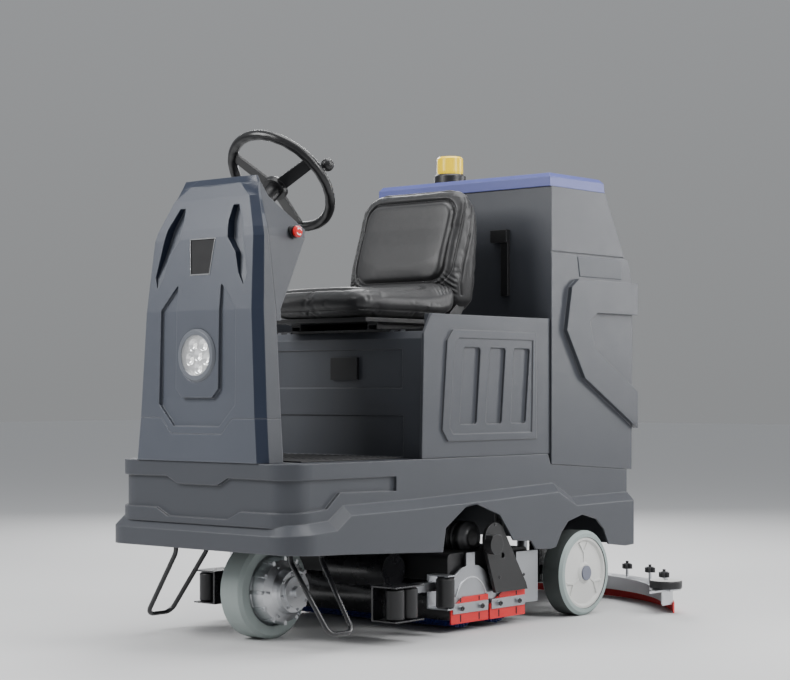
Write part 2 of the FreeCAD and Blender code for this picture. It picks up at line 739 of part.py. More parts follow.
def seat_box():
    front = "box_front"
    foot = "base_top+0.3"
    body = prism("YZ", [(front, foot), (front, 861), ("box_front+14", "deck_z-8"),
                        (1170, "deck_z-8"), (1170, foot)], -340, 340)
    floor = "base_top-13"
    hollow = prism("YZ", [("box_front+8", floor), ("box_front+8", 868), (1162, 868),
                          (1162, floor)], -330, 330)
    upper = block((604, 11, 113), (-340, "box_front-6", 717))
    lower = block((608, 11, 119.7), (-340, "box_front-6", 516.3))
    hinge = Hinge("box_front+24", "deck_z-7.5", 5, 230)
    node("seat_box", hinge.fixed(cut(body, hollow, upper, lower)))
    node("box_latch", block((105, 12, 66), (-12, "box_front-7.3", 742)))
    node("battery_pack", group(*[block((150, 250, 240), (x, y, "base_top+0.3"))
                                 for x in (-315, -155, 5, 165) for y in (620, 890)]))


def side_panel():
    """Flank panel with a raised pad and three scooped slots."""
    body = prism("YZ", [(554, "base_top+0.3"), (563, 875), (598, 933), (1174, 934),
                        (1174, "base_top+0.3")],
                 "panel_x-9.5", "panel_x")
    pad = prism("YZ", [(663, 857), (690, 888), (1100, 888), (1100, 561), (668, 561), (640, 595)],
                344, "panel_x+6")
    sunk = prism("YZ", [(698, 843), (716, 864), (1082, 864), (1076, 582), (690, 582), (674, 603)],
                 "panel_x+3", "panel_x+20")
    slots = []
    for a, b, c, d in ((742, 823, 723, 804), (867, 946, 848, 926), (986, 1068, 971, 1047)):
        slots.append(prism("YZ", [(a, 832), (a + 6, 838), (b - 6, 838), (b, 832), (d, 616),
                                  (d - 6, 610), (c + 6, 610), (c, 616)],
                           "panel_x-5", "panel_x+20"))
    inner = block((20, 560, 50), (320.5, 600, 884))
    panel_body = cut(fuse(body, pad), sunk, *slots)
    panel_body = fuse(panel_body, inner)
    pair("side_panel", panel_body)


def tank():
    """Rear tank: lower body, tapered top, and a raised C moulding each side."""
    rear_low = [("tank_front", 480.5), ("tank_front", "lid_z"), (1473, "lid_z"), (1584, 1142),
                (1606, 1136), (1626, 1063), (1631, 900), (1626, 450)]
    body = prism("YZ", rear_low, "-tank_half", "tank_half")
    hollow = prism("YZ", [("tank_front+tank_wall", 560), ("tank_front+tank_wall", 1360),
                          (1462, 1360), (1574, 1136), (1612, 1060), (1616, 560)],
                   "-tank_half+tank_wall", "tank_half-tank_wall")
    under = prism("YZ", [("tank_front+tank_wall", 470), ("tank_front+tank_wall", 548),
                         (1616, 548), (1616, 440)], "-tank_half+tank_wall", "tank_half-tank_wall")
    crest = [(1640, 1063), (1306, 1063), (1267, 1036), (1240, 899), (1339, 749), (1640, 586),
             (1640, 706), (1423, 827), (1389, 855), (1366, 928), (1406, 958), (1640, 958)]
    rib = prism("YZ", crest, "tank_half-4", "tank_half+16")
    groove = block((40, 600, 5), ("tank_half-3", 1100, 1141))
    inlet, inlet_bore = spigot(28, 60, (180, 1610, 760), 26)
    drain, drain_bore = spigot(20, 52, (-160, 1610, 500), 24)
    hinge = Hinge("tank_front+294", "lid_z+0.5", 6, 200)
    whole = fuse(body, inlet, drain, rib, mirror(rib))
    whole = cut(whole, hollow, under, inlet_bore, drain_bore, groove, mirror(groove))
    node("rear_tank", hinge.fixed(whole))
    hasp = block((64, 20, 40), (129, "tank_front-20.3", 1180))
    grip = block((28, 12, 180), (165, "tank_front-12.3", 1010))
    node("tank_handle", fuse(hasp, grip))
    node("vacuum_motor", fuse(rod(85, 120, (-180, 1340, 590)), rod(60, 60, (-180, 1340, 700)),
                              rod(100, 30, (-180, 1340, 560.3))))


def spigot(r, reach, at, shoulder):
    """Hose spigot with a flat shoulder, and its bore."""
    bore = rod(r - 5, reach + 20, (at[0], at[1] - 5, at[2]), "y")
    return fuse(rod(r, reach, at, "y"), rod(r + 6, shoulder, at, "y")), bore


def lid():
    top = "lid_top"
    line = [("-tank_half+2", "lid_z+0.5"), ("tank_half-2", "lid_z+0.5"), ("tank_half-2", "lid_z+30"),
            ("tank_half-12", top), ("-tank_half+12", top), ("-tank_half+2", "lid_z+30")]
    slab = prism("XZ", line, "tank_front-6", 1472)
    edge = prism("YZ", [("tank_front-6", "lid_z+0.5"), ("tank_front-6", "lid_z+30"),
                        ("tank_front+4", top), (1452, top), (1466, "lid_z+30"), (1472, "lid_z+0.5")],
                 -360, 360)
    under = block(("2*tank_half-40", 240, 30), ("-tank_half+20", "tank_front+24", "lid_z-6"))
    hinge = Hinge("tank_front+294", "lid_z+0.5", 6, 200)
    node("tank_lid", hinge.moving(cut(common(slab, edge), under)))
    at = (-110, 1250, top)
    node("beacon_base", turned([(0, 0.2), (52, 0.2), (52, 26), (46, 32), (0, 32)], at, "z"))
    node("beacon_lens", turned([(0, 32.3), (42, 32.3), (43, 40), (43, 84), (37, 90), (0, 90)], at, "z"))


# --- seat ------------------------------------------------------------------

def seat():
    deck_plate = block((636, 584, 8), (-318, "box_front+24", "deck_z-7.5"))
    stops = [block((30, 380, 12), (x, 600, "deck_z")) for x in (-170, 140)]
    hinge = Hinge("box_front+24", "deck_z-7.5", 5, 230)
    node("seat_deck", hinge.moving(fuse(deck_plate, *stops)))
    sliders = []
    for x in (-174, 136):
        bar = block((38, 330, 20), (x, 560, "deck_z+0.5"))
        slot = block((31, 340, 13.5), ("%s+3.5" % x, 555, "deck_z-1"))
        sliders.append(cut(bar, slot))
    pan = block((400, 400, 12), (-200, 480, "deck_z+20.3"))
    spine = prism("YZ", [(860, 922), (900, 925), (958, 1000), (972, 1200), (940, 1300),
                         (930, 1300), (950, 1200), (938, 1010), (860, 945)], -205, 205)
    node("seat_shell", fuse(*sliders, pan, spine))
    line = [(445, 960), (450, 1000), (470, 1012), (640, 1004), (800, 1010), (856, 1030),
            (856, 948), (840, 923), (470, 923), (450, 940)]
    cushion = prism("YZ", line, "-seat_half", "seat_half")
    node("seat_cushion", cushion)
    back = prism("YZ", [(842, 1045), (930, 1310), (948, 1338), (972, 1325), (985, 1270),
                        (992, 1209), (978, 1019), (920, 960), (870, 935), (869, 1034)],
                 "-seat_half+6", "seat_half-6")
    hollow = prism("YZ", [(855, 900), (860, 922), (900, 925), (958, 1000), (972.5, 1200),
                          (941, 1300.5), (929.5, 1300.5), (949.5, 1200), (937.5, 1010.5),
                          (859.5, 945.5)], -206, 206)
    node("seat_backrest", cut(back, hollow))


# --- squeegee --------------------------------------------------------------

def arc_strip(r_in, r_out, low, high, half):
    """Curved strip about the centre of the squeegee arc."""
    centre = Vector(0, val("blade_y") - val("blade_r"), val(low))
    ring = Part.makeCylinder(val(r_out), val(high) - val(low), centre)
    ring = ring.cut(Part.makeCylinder(val(r_in), val(high) - val(low), centre))
    span = Part.makeBox(2 * val(half), val("blade_r"), 300,
                        Vector(-val(half), val("blade_y") - val("blade_r") * 0.72, 0))
    return ring.common(span)


def squeegee():
    """Curved blade in a holder that swivels under a lifting post."""
    rear = val("blade_y")
    node("squeegee_blade", solid(arc_strip("blade_r-blade_t", "blade_r", 0.3, 34, "blade_half")))
    channel_bar = arc_strip("blade_r-38", "blade_r-5.3", 28, 72, "blade_half-4")
    deck_top = arc_strip("blade_r-70", "blade_r-5.3", 72, 78, "blade_half-4")
    tongue = Part.makeBox(300, 342, 8, Vector(-150, rear - 380, 72))
    body = channel_bar.fuse([deck_top, tongue, Part.makeCylinder(30, 72, Vector(0, rear - 70, 78))])
    body = body.cut(Part.makeCylinder(25, 160, Vector(0, rear - 70, 20)))
    body = body.cut(Part.makeCylinder(12 + val("run_fit"), 60, Vector(0, rear - 350, 50)))
    for sign in (-1, 1):
        body = body.fuse(Part.makeBox(80, 60, 7, Vector(sign * 545 - 40, 1502, 72)))
        body = body.fuse(Part.makeCylinder(6, 36, Vector(sign * 556, 1520, 76)))
        body = body.fuse(Part.makeBox(26, 24, 44, Vector(sign * 556 - 13, 1512, 28)))
        for x, y in ((505, 1590), (380, 1700), (250, 1760)):
            body = body.fuse(Part.makeCylinder(5, 62, Vector(sign * x, y, 70)))
            body = body.fuse(star(Vector(sign * x, y, 106)))
    node("squeegee_holder", solid(body))
    wheel = turned([("6+run_fit", 0.3), (50, 0.3), (52, 4), (52, 22), (50, 26), ("6+run_fit", 26)],
                   (556, 1520, 79.2), "z")
    pair("bumper_wheel", wheel)
    arm = fuse(rod(12, 60, (0, "blade_y-350", 62)), rod(18, 255, (0, "blade_y-350", 100)),
               rod(30, 14, (0, "blade_y-350", 88)))
    node("squeegee_arm", arm)


def star(at):
    """Four-lobed hand knob."""
    lobes = [Part.makeCylinder(8, 16, at + Vector(11 * x, 11 * y, 0))
             for x, y in ((1, 0), (-1, 0), (0, 1), (0, -1))]
    return Part.makeCylinder(12, 18, at).fuse(lobes)


def pedals():
    """Two foot pedals hinged at the heel on small stands."""
    for label, low, high in (("accelerator_pedal", -190, -110), ("brake_pedal", -70, 10)):
        pad = prism("YZ", [(222, 536), (216, 532), (132, 614), (138, 620)], low, high)
        barrel = rod(9, high - low - 8, (low + 4, 220, 533), "x")
        bore = rod("4+run_fit", 120, (low - 10, 220, 533), "x")
        node(label, cut(fuse(pad, barrel), bore))
    stands = []
    for low in (-190, -70):
        pin = rod(4, 92, (low - 6, 220, 533), "x")
        ears = [block((5, 18, 24), (x, 211, "base_top+4.3")) for x in (low - 6, low + 81)]
        stands.append(fuse(pin, *ears))
    node("pedal_stands", group(*stands))


for build in (base_cover, floor_mat, chassis, nose, badge, console, lamp, steering, column,
              panel, drive, loops, rear_wheels, deck, seat_box, side_panel, tank, lid, seat,
              squeegee, pedals):
    build()
doc.recompute()

for obj in NODES:
    if obj.TypeId == "Part::Mirroring" and obj.Source in NODES:
        continue
    old = [text for path, text in obj.ExpressionEngine if path.endswith("Base.y")]
    obj.setExpression("Placement.Base.y", "(%s) - Sizes.mid_y" % (old[0] if old else "0"))
doc.recompute()

for obj in doc.Objects:
    if "Invalid" in obj.State or "Error" in obj.State:
        raise SystemExit("bad feature %s %s" % (obj.Label, obj.State))
os.makedirs("parts", exist_ok=True)
for obj in NODES:
    if obj.Shape.isNull() or not obj.Shape.isValid() or not obj.Shape.Solids:
        raise SystemExit("bad sub-part " + obj.Label)
    obj.Shape.exportStep("parts/%s.step" % obj.Label)
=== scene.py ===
"""Looks of the ride-on scrubber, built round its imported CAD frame."""
import math
import random

import bmesh
import bpy
import numpy as np
from mathutils import Matrix, Vector


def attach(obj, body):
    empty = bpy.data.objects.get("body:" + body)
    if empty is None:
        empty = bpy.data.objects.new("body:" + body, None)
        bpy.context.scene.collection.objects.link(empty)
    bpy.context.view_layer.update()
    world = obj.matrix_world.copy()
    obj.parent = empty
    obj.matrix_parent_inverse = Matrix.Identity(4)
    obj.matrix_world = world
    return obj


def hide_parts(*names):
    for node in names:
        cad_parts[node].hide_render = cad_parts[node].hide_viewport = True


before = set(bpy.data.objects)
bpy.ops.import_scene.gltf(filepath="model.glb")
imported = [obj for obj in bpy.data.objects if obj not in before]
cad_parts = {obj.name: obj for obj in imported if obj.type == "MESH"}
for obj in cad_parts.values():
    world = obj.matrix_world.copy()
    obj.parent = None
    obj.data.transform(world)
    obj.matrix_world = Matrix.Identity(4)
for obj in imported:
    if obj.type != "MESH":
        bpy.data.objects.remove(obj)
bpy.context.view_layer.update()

# Sizes in mm, as the CAD model has them.
MID_Y = 919.0          # from the base's front plane to the origin
BRUSH_Z = 84           # brush axles
BRUSH_YS = {"brush_front": 777, "brush_rear": 948}
LAMP_Z = 807           # headlight centre
BELT_DRIVE = (868, 265)       # y, z of the belt cover's upper shaft
DRIVE_WHEEL = (265, 141)      # y, z of the steered wheel's axle
RIM_CENTRE = (0, 335, 1316)
RIM_RADIUS = 165

# How far the upholstery is remeshed and swollen, in metres.
CLOTH_VOXEL = 0.0052
CLOTH_CAP = 0.0045
CLOTH_PRESSURE = 3
CLOTH_FRAMES = 12

random.seed(7)


def mm(x, y, z):
    """Point in metres from millimetres counted from the base's front plane."""
    return Vector((x / 1000, (y - MID_Y) / 1000, z / 1000))


# --- materials -------------------------------------------------------------

def node(tree, kind, **values):
    """Shader node with its inputs set by name."""
    n = tree.nodes.new(kind)
    for key, value in values.items():
        n.inputs[key.replace("_", " ")].default_value = value
    return n


def paint_edge_highlight(tree, soft, shade, bsdf):
    """Painted highlight: a pale line where the rounded normal leaves the flat one."""
    flat = tree.nodes.new("ShaderNodeNewGeometry")
    dot = tree.nodes.new("ShaderNodeVectorMath")
    dot.operation = "DOT_PRODUCT"
    tree.links.new(soft.outputs["Normal"], dot.inputs[0])
    tree.links.new(flat.outputs["True Normal"], dot.inputs[1])
    highlight_amount = tree.nodes.new("ShaderNodeMapRange")
    highlight_amount.inputs["From Min"].default_value = 0.995
    highlight_amount.inputs["From Max"].default_value = 0.86
    highlight_amount.inputs["To Max"].default_value = 0.3
    tree.links.new(dot.outputs["Value"], highlight_amount.inputs["Value"])
    edge_highlight_mix = tree.nodes.new("ShaderNodeMix")
    edge_highlight_mix.data_type = "RGBA"
    edge_highlight_mix.blend_type = "SCREEN"
    # colour of the painted edge highlight
    edge_highlight_mix.inputs["B"].default_value = (0.22, 0.22, 0.23, 1)
    tree.links.new(highlight_amount.outputs["Result"], edge_highlight_mix.inputs["Factor"])
    tree.links.new(shade.outputs["Result"], edge_highlight_mix.inputs["A"])
    tree.links.new(edge_highlight_mix.outputs["Result"], bsdf.inputs["Base Color"])


def material(name, color, rough=0.45, metal=0.0, grain=0.0, scale=900.0, vary=0.12,
             edge=0.0025, coat=0.0, rough_vary=0.08, alpha=1.0, glow=None, transmission=0.0,
             fine_stretch=None, sheen=0.0):
    """Procedural surface: colour and gloss drift, fine grain, rounded edges with a painted
    highlight.
    """
    m = bpy.data.materials.new(name)
    m.use_nodes = True
    t = m.node_tree
    bsdf = t.nodes["Principled BSDF"]
    link = t.links.new
    bsdf.inputs["Metallic"].default_value = metal
    bsdf.inputs["Coat Weight"].default_value = coat
    bsdf.inputs["Coat Roughness"].default_value = 0.12
    bsdf.inputs["Alpha"].default_value = alpha
    bsdf.inputs["Transmission Weight"].default_value = transmission
    bsdf.inputs["Sheen Weight"].default_value = sheen
    place = t.nodes.new("ShaderNodeTexCoord")
    broad = node(t, "ShaderNodeTexNoise", Scale=6.0, Detail=4.0)
    link(place.outputs["Object"], broad.inputs["Vector"])
    shade = t.nodes.new("ShaderNodeMix")
    shade.data_type = "RGBA"
    dark = [c * (1 - vary) for c in color[:3]] + [1]
    light = [min(1, c * (1 + vary)) for c in color[:3]] + [1]
    shade.inputs["A"].default_value = dark
    shade.inputs["B"].default_value = light
    link(broad.outputs["Fac"], shade.inputs["Factor"])
    link(shade.outputs["Result"], bsdf.inputs["Base Color"])
    spread = t.nodes.new("ShaderNodeMapRange")
    spread.inputs["To Min"].default_value = max(0.02, rough - rough_vary)
    spread.inputs["To Max"].default_value = min(1, rough + rough_vary)
    smudge = node(t, "ShaderNodeTexNoise", Scale=23.0, Detail=6.0)
    link(place.outputs["Object"], smudge.inputs["Vector"])
    link(smudge.outputs["Fac"], spread.inputs["Value"])
    link(spread.outputs["Result"], bsdf.inputs["Roughness"])
    soft = None
    if edge:
        soft = t.nodes.new("ShaderNodeBevel")
        soft.samples = 4
        soft.inputs["Radius"].default_value = edge
        link(soft.outputs["Normal"], bsdf.inputs["Normal"])
        # painted highlight on the rounded edges, screened into the base colour
        paint_edge_highlight(t, soft, shade, bsdf)
    if grain:
        source = place.outputs["Object"]
        if fine_stretch:
            mapping = t.nodes.new("ShaderNodeMapping")
            mapping.inputs["Scale"].default_value = fine_stretch
            link(source, mapping.inputs["Vector"])
            source = mapping.outputs["Vector"]
        fine = node(t, "ShaderNodeTexNoise", Scale=scale, Detail=2.0)
        link(source, fine.inputs["Vector"])
        bump = t.nodes.new("ShaderNodeBump")
        bump.inputs["Strength"].default_value = grain
        bump.inputs["Distance"].default_value = 0.0006
        link(fine.outputs["Fac"], bump.inputs["Height"])
        if soft:
            link(soft.outputs["Normal"], bump.inputs["Normal"])
        link(bump.outputs["Normal"], bsdf.inputs["Normal"])
    if glow:
        bsdf.inputs["Emission Color"].default_value = list(glow[:3]) + [1]
        bsdf.inputs["Emission Strength"].default_value = glow[3]
    return m


def leather(name):
    """Black upholstery: creased grain from cells, with a soft gloss."""
    m = material(name, (0.014, 0.014, 0.015), 0.42, grain=0.0, edge=0, vary=0.15, sheen=0.1)
    t = m.node_tree
    bsdf = t.nodes["Principled BSDF"]
    place = t.nodes.new("ShaderNodeTexCoord")
    cells = t.nodes.new("ShaderNodeTexVoronoi")
    cells.feature = "DISTANCE_TO_EDGE"
    cells.inputs["Scale"].default_value = 420
    warp = node(t, "ShaderNodeTexNoise", Scale=60.0, Detail=3.0)
    t.links.new(place.outputs["Object"], cells.inputs["Vector"])
    t.links.new(place.outputs["Object"], warp.inputs["Vector"])
    low = t.nodes.new("ShaderNodeBump")
    low.inputs["Strength"].default_value = 0.18
    low.inputs["Distance"].default_value = 0.002
    fine = t.nodes.new("ShaderNodeBump")
    fine.inputs["Strength"].default_value = 0.3
    fine.inputs["Distance"].default_value = 0.0005
    t.links.new(warp.outputs["Fac"], low.inputs["Height"])
    t.links.new(cells.outputs["Distance"], fine.inputs["Height"])
    t.links.new(low.outputs["Normal"], fine.inputs["Normal"])
    t.links.new(fine.outputs["Normal"], bsdf.inputs["Normal"])
    return m


MATS = {
    "slate": material("slate_plastic", (0.05, 0.054, 0.064), 0.38, grain=0.35, scale=1300,
                      edge=0.005, vary=0.06),
    "navy": material("slate_navy", (0.014, 0.021, 0.04), 0.36, grain=0.3, scale=1300,
                     edge=0.004, vary=0.06),
    "nose": material("slate_nose", (0.066, 0.074, 0.093), 0.4, grain=0.5, scale=1000,
                     edge=0.005, vary=0.06),
    "blue": material("blue_plastic", (0.085, 0.1, 0.3), 0.4, grain=0.3, scale=1300, edge=0.004),
    "black": material("black_plastic", (0.012, 0.012, 0.013), 0.38, grain=0.2, scale=1500),
    "rubber": material("black_rubber", (0.012, 0.012, 0.013), 0.7, grain=0.5, scale=700),
    "black_steel": material("black_steel", (0.012, 0.012, 0.014), 0.28, grain=0.1, scale=600,
                            coat=0.4, edge=0.0015),
    "grey_tyre": material("grey_tyre", (0.3, 0.345, 0.335), 0.5, grain=0.25, scale=500,
                          edge=0.004),
    "dark_tread": material("dark_tread", (0.055, 0.064, 0.062), 0.65, grain=0.5, scale=500),
    "sidewall": material("sidewall", (0.3, 0.36, 0.35), 0.5, grain=0.25, scale=500, edge=0.003),
    "white": material("white_hub", (0.62, 0.62, 0.6), 0.4, grain=0.15, scale=900, edge=0.003),
    "alu": material("cast_aluminium", (0.62, 0.63, 0.65), 0.34, metal=1, grain=0.4, scale=420,
                    edge=0.002),
    "steel": material("zinc_steel", (0.4, 0.41, 0.43), 0.34, metal=1, grain=0.25, scale=300,
                      edge=0.0012, fine_stretch=(1, 12, 1)),
    "red": material("red_rubber", (0.62, 0.012, 0.014), 0.42, grain=0.2, scale=600, edge=0.001),
    "red_gloss": material("red_plastic", (0.72, 0.01, 0.012), 0.25, coat=0.5, edge=0.0012),
    "lens": material("clear_lens", (0.95, 0.97, 0.98), 0.04, alpha=0.18, edge=0.001),
    "amber": material("amber_lens", (0.95, 0.62, 0.0), 0.25, glow=(1.0, 0.7, 0.0, 0.12),
                      edge=0.001, grain=0.6, scale=260, fine_stretch=(1, 1, 0.02)),
    "chrome": material("bright_reflector", (0.88, 0.89, 0.9), 0.12, metal=1, edge=0.0006),
    "led": material("led_dome", (0.95, 0.95, 0.92), 0.2, glow=(1, 0.98, 0.95, 0.8), edge=0),
    "bristle": material("blue_bristle", (0.012, 0.025, 0.16), 0.55, edge=0, vary=0.4),
    "battery": material("battery_case", (0.03, 0.03, 0.035), 0.4, grain=0.2),
    "grip": material("rim_grip", (0.01, 0.01, 0.011), 0.3, grain=0.15, scale=700, edge=0),
    "trim": material("tank_trim", (0.075, 0.08, 0.09), 0.5, grain=0.2, edge=0.0008),
    "bezel": material("bezel_ring", (0.13, 0.14, 0.16), 0.3, edge=0.002),
    "plate": material("blank_plate", (0.006, 0.006, 0.007), 0.75, edge=0),
    "glass": material("display_glass", (0.01, 0.012, 0.014), 0.06, edge=0.0008, coat=0.6),
    "green": material("green_button", (0.02, 0.22, 0.06), 0.3, edge=0.0008),
    "cap": material("grey_cap", (0.16, 0.17, 0.22), 0.45, edge=0.001),
    "mark": material("white_mark", (0.8, 0.8, 0.78), 0.5, edge=0),
}
MATS["leather"] = leather("black_leather")

NODE_LOOKS = {
    "slate": "base_cover console_cover seat_box side_panel_left side_panel_right rear_tank",
    "nose": "nose_cover nose_lower_cover",
    "blue": "tank_lid",
    "bezel": "headlight_bezel",
    "plate": "name_plate",
    "black": "tank_handle steering_column control_panel stop_collar box_latch "
             "vacuum_motor beacon_base steering_rim spinner_knob belt_cover seat_shell "
             "corner_roller_left corner_roller_right inner_roller_left inner_roller_right "
             "mid_roller_left mid_roller_right bumper_wheel_left bumper_wheel_right",
    "rubber": "floor_mat accelerator_pedal brake_pedal",
    "black_steel": "chassis_frame guard_loops deck_housing seat_deck",
    "grey_tyre": "drive_tyre",
    "dark_tread": "rear_tyre_left rear_tyre_right",
    "white": "rear_hub_left rear_hub_right",
    "alu": "drive_fork drive_motor squeegee_holder",
    "steel": "deck_frame skirt_clamps pedal_stands squeegee_arm",
    "red": "side_skirts squeegee_blade",
    "red_gloss": "stop_button",
    "lens": "headlight_lens",
    "amber": "beacon_lens",
    "chrome": "headlight_cups",
    "battery": "battery_pack",
    "bristle": "brush_front brush_rear",
    "leather": "seat_cushion seat_backrest",
}


def paint(obj, *names):
    """Replace the object's materials, one slot for each name."""
    obj.data.materials.clear()
    for name in names:
        obj.data.materials.append(MATS[name])


def split(obj, rule):
    """Give each face the material slot that the rule picks from its centre and normal."""
    for face in obj.data.polygons:
        face.material_index = rule(face.center * 1000 + Vector((0, MID_Y, 0)), face.normal)


for look, names in NODE_LOOKS.items():
    for name in names.split():
        paint(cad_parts[name], look)


def nose_zone(c, n):
    """Border chamfers and the gills' outer walls get the dark navy copy as painted shade, the
    flanks plain slate.
    """
    if abs(n.x) > 0.93 and abs(c.x) > 195 or n.y > 0.2:
        return 2
    # navy on the border chamfers and gill walls is painted shade
    border = abs(n.x) > 0.25 and n.y < -0.25 and (abs(c.x) > 190 or c.z > 1135)
    crown = c.z > 1283 and n.z > 0.2 or abs(n.z) > 0.9 and c.z > 1290
    shaded_gill_wall = abs(n.x) > 0.6 and 80 < abs(c.x) < 192 and 985 < c.z < 1232 and n.y > -0.3
    return 1 if border or crown or shaded_gill_wall else 0


for name in ("nose_cover", "nose_lower_cover"):
    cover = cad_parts[name]
    paint(cover, "nose", "navy", "slate")
    split(cover, nose_zone)
for side in ("left", "right"):
    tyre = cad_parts["rear_tyre_" + side]
    paint(tyre, "dark_tread", "sidewall")
    split(tyre, lambda c, n: 1 if abs(n.x) > 0.5 else 0)
paint(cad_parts["headlight_bezel"], "bezel", "black")
split(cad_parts["headlight_bezel"], lambda c, n: 1 if n.y > 0.5 else 0)
# The front brackets are black steel; the inner bars over the housing are painted black as painted
# shade under the base.
paint(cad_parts["deck_frame"], "steel", "black_steel")
split(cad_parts["deck_frame"],
      lambda c, n: 1 if c.y < 500 or abs(c.x) < 345 and c.z > 185 else 0)
paint(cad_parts["chassis_frame"], "black_steel", "cap")
split(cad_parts["chassis_frame"],
      lambda c, n: 1 if abs(c.x) > 393 and 1270 < c.y < 1340 else 0)
paint(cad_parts["squeegee_holder"], "alu", "black")
split(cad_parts["squeegee_holder"],
      lambda c, n: 1 if c.z > 103 and abs(c.x) > 200 else 0)
for side in ("left", "right"):
    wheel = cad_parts["bumper_wheel_" + side]
    paint(wheel, "black", "white")
    split(wheel, lambda c, n: 1 if c.z > 103 and n.z > 0.6 else 0)


# --- mesh helpers ----------------------------------------------------------

def piece(name, verts, faces, look, body, smooth=True):
    """New mesh piece that rides on a CAD body."""
    mesh = bpy.data.meshes.new(name)
    mesh.from_pydata([tuple(v) for v in verts], [], faces)
    mesh.update()
    bm = bmesh.new()
    bm.from_mesh(mesh)
    bmesh.ops.recalc_face_normals(bm, faces=bm.faces)
    bm.to_mesh(mesh)
    bm.free()
    obj = bpy.data.objects.new(name, mesh)
    bpy.context.scene.collection.objects.link(obj)
    for face in mesh.polygons:
        face.use_smooth = smooth
    paint(obj, look)
    if body:
        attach(obj, body)
    return obj


def tube_faces(rows, steps, base=0):
    """Quads joining each closed ring of vertices to the next one."""
    faces = []
    for j in range(rows - 1):
        low, high = base + j * steps, base + (j + 1) * steps
        for i in range(steps):
            k = (i + 1) % steps
            faces.append((low + i, low + k, high + k, high + i))
    return faces


def capped_faces(rows, steps):
    """Tube faces with both ends closed."""
    return tube_faces(rows, steps) + [tuple(reversed(range(steps))),
                                      tuple(range((rows - 1) * steps, rows * steps))]


def lathe(profile, at, axis, steps=48):
    """Vertices and faces of an outline of (radius, height) turned about an axis, in mm."""
    axis = Vector(axis).normalized()
    side = axis.orthogonal().normalized()
    other = axis.cross(side)
    verts = []
    for r, h in profile:
        for i in range(steps):
            a = 2 * math.pi * i / steps
            verts.append(Vector(at) + axis * h + (side * math.cos(a) + other * math.sin(a)) * r)
    return verts, capped_faces(len(profile), steps)


def merge(parts):
    """One list of vertices and one of faces from several pairs."""
    verts, faces = [], []
    for v, f in parts:
        base = len(verts)
        verts += v
        faces += [tuple(base + i for i in face) for face in f]
    return verts, faces


def to_metres(verts):
    return [mm(*v) for v in verts]


def turned_piece(name, parts, look, body, steps=48, smooth=True):
    """Piece made of several turned outlines."""
    verts, faces = merge([lathe(p, at, axis, steps) for p, at, axis in parts])
    return piece(name, to_metres(verts), faces, look, body, smooth)


def bolt(at, axis, r=7.0, h=5.0):
    """Hex-socket button head: outline for lathe."""
    return ([(r, 0), (r, h * 0.45), (r * 0.85, h * 0.85), (r * 0.55, h), (r * 0.5, h * 0.4),
             (r * 0.01, h * 0.4)], at, axis)


# --- seat ------------------------------------------------------------------

def lofted(name, rings):
    """Closed mesh through rings of equal length."""
    verts = [v for ring in rings for v in ring]
    faces = capped_faces(len(rings), len(rings[0]))
    return piece(name, to_metres(verts), faces, "leather", None)


def power(value, n):
    """Signed power that gives a superellipse of degree n."""
    return math.copysign(abs(value) ** (2 / n), value)


def puff(obj):
    """Remesh a closed form and let it swell like stuffed cloth."""
    mod = obj.modifiers.new("remesh", "REMESH")
    mod.mode = "VOXEL"
    mod.voxel_size = CLOTH_VOXEL
    mod.use_smooth_shade = True
    apply_all(obj)
    before = [v.co.copy() for v in obj.data.vertices]
    cloth = obj.modifiers.new("cloth", "CLOTH")
    cloth.settings.use_pressure = True
    cloth.settings.uniform_pressure_force = CLOTH_PRESSURE
    cloth.settings.effector_weights.gravity = 0
    cloth.settings.tension_stiffness = 20
    cloth.settings.compression_stiffness = 20
    cloth.settings.bending_stiffness = 2
    scene = bpy.context.scene
    for step in range(1, CLOTH_FRAMES + 1):
        scene.frame_set(step)
    apply_all(obj)
    scene.frame_set(1)
    for v, old in zip(obj.data.vertices, before):
        move = v.co - old
        if move.length > CLOTH_CAP:
            v.co = old + move.normalized() * CLOTH_CAP
    fine = obj.modifiers.new("fine", "SUBSURF")
    fine.levels = fine.render_levels = 1
    apply_all(obj)


def apply_all(obj):
    """Replace the mesh by what its modifiers give."""
    graph = bpy.context.evaluated_depsgraph_get()
    mesh = bpy.data.meshes.new_from_object(obj.evaluated_get(graph))
    obj.modifiers.clear()
    obj.data = mesh


def bump_at(value, middle, wide):
    """Bell curve of height 1."""
    return math.exp(-((value - middle) / wide) ** 2)


def box_distance(x, y, half_x, half_y, corner):
    """Signed distance in the plane to a rounded rectangle."""
    dx = abs(x) - (half_x - corner)
    dy = abs(y) - (half_y - corner)
    out = math.hypot(max(dx, 0), max(dy, 0)) + min(max(dx, dy), 0)
    return out - corner


# Cushion: y, bottom z, top z and half width. Back: z, front y, rear y and half width.
CUSHION = [(446, 956, 972, 150), (452, 944, 988, 186), (466, 934, 1000, 206),
           (490, 928, 1006, 217), (560, 926, 1007, 222), (700, 926, 1008, 224),
           (790, 927, 1016, 224), (840, 931, 1034, 222), (868, 938, 1046, 214),
           (884, 950, 1044, 200), (892, 968, 1030, 182)]
BACK = [(946, 880, 940, 176), (958, 872, 962, 200), (985, 858, 984, 217), (1040, 846, 996, 223),
        (1100, 858, 1002, 225), (1160, 878, 1003, 225), (1210, 897, 999, 223),
        (1250, 910, 993, 220), (1285, 920, 985, 212), (1310, 929, 977, 194),
        (1328, 941, 968, 166), (1336, 948, 962, 135)]


